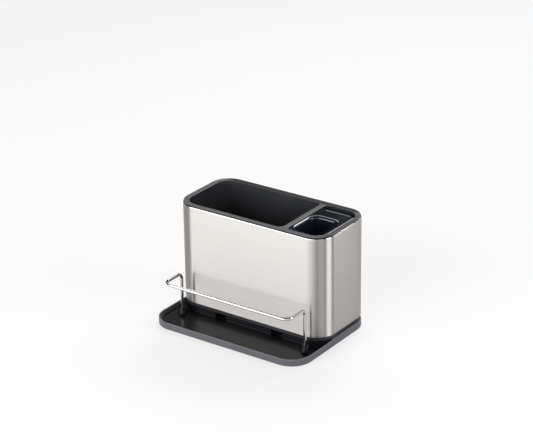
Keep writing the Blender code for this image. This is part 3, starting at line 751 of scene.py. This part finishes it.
def hole_grid_tree():
    """Geometry Nodes: upright rods on a regular grid, which cut drain holes."""
    tree = bpy.data.node_groups.new("rods_on_a_grid", "GeometryNodeTree")
    face = tree.interface
    for label in ("Columns", "Rows"):
        face.new_socket(label, in_out="INPUT", socket_type="NodeSocketInt")
    for label in ("Pitch", "Radius", "Length"):
        face.new_socket(label, in_out="INPUT", socket_type="NodeSocketFloat")
    face.new_socket("Middle", in_out="INPUT", socket_type="NodeSocketVector")
    face.new_socket("Rods", in_out="OUTPUT", socket_type="NodeSocketGeometry")
    made, join = tree.nodes, tree.links.new
    given = made.new("NodeGroupInput")
    spread = made.new("GeometryNodeMeshGrid")
    for count, size, side in (("Columns", "Size X", "Vertices X"), ("Rows", "Size Y", "Vertices Y")):
        join(given.outputs[count], spread.inputs[side])
        gaps = made.new("ShaderNodeMath")
        gaps.operation = "SUBTRACT"
        gaps.inputs[1].default_value = 1
        join(given.outputs[count], gaps.inputs[0])
        span = made.new("ShaderNodeMath")
        span.operation = "MULTIPLY"
        join(gaps.outputs["Value"], span.inputs[0])
        join(given.outputs["Pitch"], span.inputs[1])
        join(span.outputs["Value"], spread.inputs[size])
    rod = made.new("GeometryNodeMeshCylinder")
    rod.inputs["Vertices"].default_value = 40
    join(given.outputs["Radius"], rod.inputs["Radius"])
    join(given.outputs["Length"], rod.inputs["Depth"])
    copies = made.new("GeometryNodeInstanceOnPoints")
    join(spread.outputs["Mesh"], copies.inputs["Points"])
    join(rod.outputs["Mesh"], copies.inputs["Instance"])
    place = made.new("GeometryNodeTransform")
    join(copies.outputs["Instances"], place.inputs["Geometry"])
    join(given.outputs["Middle"], place.inputs["Translation"])
    real = made.new("GeometryNodeRealizeInstances")
    join(place.outputs["Geometry"], real.inputs["Geometry"])
    result = made.new("NodeGroupOutput")
    join(real.outputs["Geometry"], result.inputs["Rods"])
    return tree


def drain(obj, columns, rows, pitch, middle, level):
    """Cuts a grid of round drain holes through a floor at the given level."""
    mesh = bpy.data.meshes.new("rods")
    rods = bpy.data.objects.new("rods", mesh)
    bpy.context.scene.collection.objects.link(rods)
    spread = rods.modifiers.new("grid", "NODES")
    spread.node_group = hole_tree
    for label, value in (("Columns", columns), ("Rows", rows), ("Pitch", pitch)):
        give(spread, label, value)
    give(spread, "Radius", DRAIN_RADIUS)
    give(spread, "Length", DRAIN_LENGTH)
    give(spread, "Middle", (middle[0], middle[1], level))
    bpy.context.view_layer.update()
    rods.data = bpy.data.meshes.new_from_object(
        rods.evaluated_get(bpy.context.evaluated_depsgraph_get())
    )
    rods.modifiers.clear()
    shape(obj, rods, "DIFFERENCE")


def well(plan):
    """A tool for one well: a drafted wall, a filleted floor and a rounded upper edge."""
    section = arc(DRAFT + FILLET, LINER_FLOOR + FILLET, FILLET, -90, 0, 10)
    section += arc(-WELL_ROUND, RIM_TOP - RIM_FALL - WELL_ROUND, WELL_ROUND, 180, 90, 8)
    section.append((-WELL_ROUND, RIM_TOP + 2.0 * MM))
    return solid("well", [plan_loop(plan, inset, z) for inset, z in section])


hole_tree = hole_grid_tree()
liner_plastic = moulded_plastic(
    "liner_plastic", (0.02, 0.021, 0.023), (0.024, 0.025, 0.028), 0.32, 0.42, 1100, 0.00003
)
hull = arc(WALL_INSET + DRAFT + FILLET, LINER_BOTTOM + FILLET, FILLET, -90, 0, 10)
hull += [(WALL_INSET, RIM_UNDER), (TONGUE_INNER, RIM_UNDER), (TONGUE_INNER, TONGUE_END)]
hull += [(TONGUE_OUTER, TONGUE_END), (TONGUE_OUTER, RIM_UNDER)]
hull += [(RIM_EDGE + RIM_CHAMFER, RIM_UNDER), (RIM_EDGE, RIM_UNDER + RIM_CHAMFER)]
hull += arc(RIM_EDGE + RIM_ROUND, RIM_TOP - RIM_ROUND, RIM_ROUND, 0, 90, 8)
hull += [(inset * MM, RIM_TOP - fall * RIM_FALL) for inset, fall in RIM_CROWN]
liner = solid("divided_liner", [plan_loop(BODY_PLAN, inset, z) for inset, z in hull])
shape(liner, well(LEFT_WELL), "DIFFERENCE")
shape(liner, well(RIGHT_WELL), "DIFFERENCE")
gap_low = (DIVIDER_LEFT + DIVIDER_WALL, sleeve_low.y + GAP_INSET, LINER_BOTTOM - 2.0 * MM)
gap_high = (DIVIDER_RIGHT - DIVIDER_WALL, sleeve_high.y - GAP_INSET, GAP_ROOF)
shape(liner, block("divider_gap", gap_low, gap_high), "DIFFERENCE")
stop_low = (MOUTH_LEFT + MOUTH_CORNER, STOP_FRONT, LINER_FLOOR - 1.0 * MM)
stop_high = (MOUTH_RIGHT - MOUTH_CORNER, STOP_FRONT + STOP_DEPTH, LINER_FLOOR + STOP_HEIGHT)
shape(liner, block("cup_stop", stop_low, stop_high), "UNION")
left_middle = ((LEFT_WELL[0] + LEFT_WELL[1]) / 2, SLEEVE_MIDDLE)
drain(liner, 5, 3, WELL_PITCH, left_middle, LINER_FLOOR)
drain(liner, 2, 2, CUP_PITCH, CUP_MIDDLE, LINER_FLOOR)
dress(liner, liner_plastic)
# Painted shade: the liner is painted darker behind the wells, along the rim's outer edge, and partly towards
# its right side. It is glossier there too.
painted_shade_and_gloss(liner_plastic, (0.012, 0.012, 0.014), 0.22, 0.28)
wear_and_highlight = edge_wear_and_highlight(liner, 0.25)
shade_and_gloss = [0.0] * len(wear_and_highlight)
# Besides wear, a painted highlight: the rim's upper edges are painted lighter at the front and right than
# behind, and not at all on the outer edge or lower down.
for i, (x, y, z) in enumerate(vertex.co for vertex in liner.data.vertices):
    if z < RIM_UNDER - 0.1 * MM:
        continue
    depth = depth_inside(x, y, sleeve_low, sleeve_high, SLEEVE_CORNER)
    behind = y > WELL_BACK
    right = min(max((x - sleeve_high.x) / (10.0 * MM) + 1.2, 0), 1)
    shade_and_gloss[i] = 1.0 if behind else 0.45 * right
    if depth < 1.5 * MM:
        shade_and_gloss[i] = 1.0 if behind else 0.6 + 0.4 * right
        wear_and_highlight[i] = 0.0
    elif depth < 2.7 * MM:
        wear_and_highlight[i] = 0.1 if behind else 0.4
    elif z < RIM_TOP - RIM_FALL - 0.3 * MM or behind:
        wear_and_highlight[i] = 0.0
mark(liner.data, "wear_and_painted_highlight", wear_and_highlight)
mark(liner.data, "painted_shade_and_gloss", shade_and_gloss)
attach(liner, "liner")
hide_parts("liner")


# Drop-in cup
# A glossier dark cup drops into the narrow well. Its flat flange is wide behind the mouth, the mouth turns
# down into the cup in a soft flare, and a low bead edges the slot that stays open behind the flange.
CUP_TOP = cup_high.z
CUP_FLOOR = cup_low.z + 2.0 * MM
FLANGE_PLAN = (
    *(cup_low.x, cup_high.x, cup_low.y, cup_high.y),
    *(INNER_CORNER - 0.45 * MM, OUTER_CORNER - 0.45 * MM, 4.0 * MM, 4.0 * MM),
)
FLANGE_UNDER = CUP_TOP - 1.6 * MM
FLANGE_ROUND = 0.7 * MM
FLARE = 3.2 * MM
CUP_WALL = 1.8 * MM
CUP_DRAFT = 1.0 * MM
CUP_FILLET = 3.0 * MM
CUP_FOOT = FLARE + CUP_DRAFT + CUP_FILLET
BEAD_Y = cup_high.y - 1.15 * MM
BEAD_X = (cup_low.x + cup_high.x) / 2
BEAD_LENGTH = cup_high.x - cup_low.x - 10.0 * MM
BEAD_HALF = 1.1 * MM
BEAD_HEIGHT = 0.5 * MM
BEAD_ROOT = CUP_TOP - 0.6 * MM
BEAD_START = CUP_TOP - 0.05 * MM
cup_plastic = moulded_plastic(
    "cup_plastic", (0.008, 0.01, 0.018), (0.01, 0.013, 0.023), 0.09, 0.16, 900, 0.00001
)
outer = arc(CUP_FOOT - CUP_WALL, cup_low.z + CUP_FILLET, CUP_FILLET, -90, 0, 10)
outer += [(FLARE - CUP_WALL, CUP_TOP - FLARE), (0.2 * MM, FLANGE_UNDER)]
edge = [(0, FLANGE_UNDER)] + arc(FLANGE_ROUND, CUP_TOP - FLANGE_ROUND, FLANGE_ROUND, 0, 90, 12)
inside = arc(0, CUP_TOP - FLARE, FLARE, 90, 180, 12)
inside += arc(CUP_FOOT, CUP_FLOOR + CUP_FILLET, CUP_FILLET, 0, -90, 10)
cup_loops = [plan_loop(MOUTH_PLAN, inset, z) for inset, z in outer]
cup_loops += [plan_loop(FLANGE_PLAN, inset, z) for inset, z in edge]
cup_loops += [plan_loop(MOUTH_PLAN, inset, z) for inset, z in inside]
cup = solid("drop_in_cup", cup_loops)
drain(cup, 2, 2, CUP_PITCH, CUP_MIDDLE, CUP_FLOOR)
bead_loops = []
for i in range(25):
    along = math.cos(math.pi * i / 24)
    swell = math.sqrt(max(1 - along**8, 0.01))
    x = BEAD_X + along * BEAD_LENGTH / 2
    loop = [(x, BEAD_Y - BEAD_HALF * swell, BEAD_ROOT)]
    for k in range(17):
        turn = math.pi * k / 16
        y = BEAD_Y - BEAD_HALF * swell * math.cos(turn)
        loop.append((x, y, BEAD_START + BEAD_HEIGHT * swell * math.sin(turn)))
    loop.append((x, BEAD_Y + BEAD_HALF * swell, BEAD_ROOT))
    bead_loops.append(loop)
shape(cup, solid("plate_bead", bead_loops), "UNION")
dress(cup, cup_plastic)
# Rounded edges are painted lighter: wear and painted highlight.
mark(cup.data, "wear_and_painted_highlight", edge_wear_and_highlight(cup, 0.5))
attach(cup, "cup")
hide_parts("brush_cup")


# Wire rail
# One length of round stainless wire, bent at four places and polished. Its two ends, slightly rounded, stand
# down in the tray's bosses, and its level run in front closes off the open bay before the steel.
rail_low, rail_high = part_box("wire_rail")
WIRE = 1.7 * MM
WIRE_END = ((0, 0.7), (0.25, 0.92), (0.6, 1))  # height over the end in mm, and share of the girth
RAIL_BEND = 6.0 * MM
RAIL_CORNER = 9.0 * MM


def bent_wire_tree():
    """Geometry Nodes: rounds each corner of a path by its own bend radius and gives it a round section."""
    tree = bpy.data.node_groups.new("bent_wire", "GeometryNodeTree")
    face = tree.interface
    face.new_socket("Path", in_out="INPUT", socket_type="NodeSocketGeometry")
    face.new_socket("Wire Radius", in_out="INPUT", socket_type="NodeSocketFloat")
    face.new_socket("Bend Steps", in_out="INPUT", socket_type="NodeSocketInt")
    face.new_socket("Finish", in_out="INPUT", socket_type="NodeSocketMaterial")
    face.new_socket("Wire", in_out="OUTPUT", socket_type="NodeSocketGeometry")
    made, join = tree.nodes, tree.links.new
    given = made.new("NodeGroupInput")
    path = made.new("GeometryNodeMeshToCurve")
    join(given.outputs["Path"], path.inputs["Mesh"])
    bend = made.new("GeometryNodeInputNamedAttribute")
    bend.data_type = "FLOAT"
    bend.inputs["Name"].default_value = "bend_radius"
    bends = made.new("GeometryNodeFilletCurve")
    bends.mode = "POLY"
    join(path.outputs["Curve"], bends.inputs["Curve"])
    join(bend.outputs["Attribute"], bends.inputs["Radius"])
    join(given.outputs["Bend Steps"], bends.inputs["Count"])
    girth = made.new("GeometryNodeInputNamedAttribute")
    girth.data_type = "FLOAT"
    girth.inputs["Name"].default_value = "girth"
    section = made.new("GeometryNodeCurvePrimitiveCircle")
    section.inputs["Resolution"].default_value = 32
    join(given.outputs["Wire Radius"], section.inputs["Radius"])
    sweep = made.new("GeometryNodeCurveToMesh")
    sweep.inputs["Fill Caps"].default_value = True
    join(bends.outputs["Curve"], sweep.inputs["Curve"])
    join(section.outputs["Curve"], sweep.inputs["Profile Curve"])
    join(girth.outputs["Attribute"], sweep.inputs["Scale"])
    real = made.new("GeometryNodeRealizeInstances")
    join(sweep.outputs["Mesh"], real.inputs["Geometry"])
    paint = made.new("GeometryNodeSetMaterial")
    join(real.outputs["Geometry"], paint.inputs["Geometry"])
    join(given.outputs["Finish"], paint.inputs["Material"])
    result = made.new("NodeGroupOutput")
    join(paint.outputs["Geometry"], result.inputs["Wire"])
    return tree


def polished_wire_look():
    """Polished stainless wire: bright, with hair-fine rub marks that hardly blur the reflection."""
    wire, tree, shader = new_finish("polished_wire")
    join = tree.links.new
    shader.inputs["Metallic"].default_value = 1
    rubs = speckle(tree, place_on(tree), 900, 4)
    tint = graded(tree, rubs, 0.3, (0.5, 0.492, 0.488), 0.7, (0.56, 0.552, 0.548))
    join(tint, shader.inputs["Base Color"])
    join(ranged(tree, rubs, 0.3, 0.7, 0.04, 0.09), shader.inputs["Roughness"])
    join(raised(tree, rubs, 0.08, 0.00001), shader.inputs["Normal"])
    return wire


rail_x = rail_high.x - WIRE
rail_front = rail_low.y + WIRE
rail_top = rail_high.z - WIRE
leg_y = BOSS_PLACES[1][1]
half = [(rail_x, leg_y, rail_low.z + rise * MM) for rise, girth in WIRE_END]
half += [(rail_x, leg_y, rail_top), (rail_x, rail_front, rail_top)]
path_points = half + [(-x, y, z) for x, y, z in reversed(half)]
half_bends = [0, 0, 0, RAIL_BEND, RAIL_CORNER]
half_girths = [girth for rise, girth in WIRE_END] + [1, 1]
path_mesh = bpy.data.meshes.new("bent_wire_rail")
path_mesh.from_pydata(path_points, [(i, i + 1) for i in range(len(path_points) - 1)], [])
mark(path_mesh, "bend_radius", half_bends + half_bends[::-1])
mark(path_mesh, "girth", half_girths + half_girths[::-1])
rail = bpy.data.objects.new("bent_wire_rail", path_mesh)
bpy.context.scene.collection.objects.link(rail)
bending = rail.modifiers.new("bending", "NODES")
bending.node_group = bent_wire_tree()
give(bending, "Wire Radius", WIRE)
give(bending, "Bend Steps", 16)
give(bending, "Finish", polished_wire_look())
settle(rail, 50)
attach(rail, "rail")
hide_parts("wire_rail")
